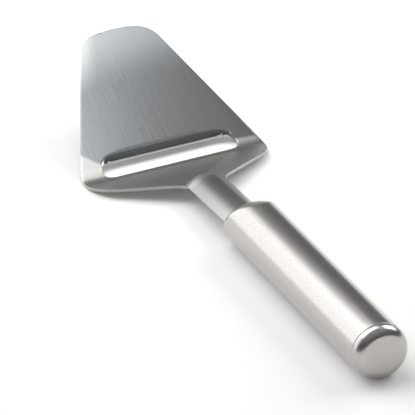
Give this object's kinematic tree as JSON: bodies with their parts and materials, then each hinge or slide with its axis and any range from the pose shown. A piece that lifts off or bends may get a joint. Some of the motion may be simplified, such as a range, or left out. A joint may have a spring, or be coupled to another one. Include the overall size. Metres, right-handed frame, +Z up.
{
  "type": "cheese slicer",
  "caption": "Steel cheese slicer: a bent trapezium blade with a crosswise slot and cutting lip, on an arched neck set in a round hollow handle.",
  "frame": {"origin": "on the table, under the middle of the slicer's length and width, as it lies on its heel and its handle", "axes": "+Y along the slicer from the handle to the front edge, +X across the blade, +Z up from the table"},
  "size_m": [0.0778, 0.25, 0.0354],
  "materials": {
    "blade_steel": "brushed and polished",
    "handle_steel": "satin",
    "insert_plastic": "moulded"
  },
  "bodies": {
    "root": {"blade": "blade_steel", "handle_tube": "handle_steel", "tang_insert": "insert_plastic", "end_cap": "handle_steel"}
  },
  "joints": []
}
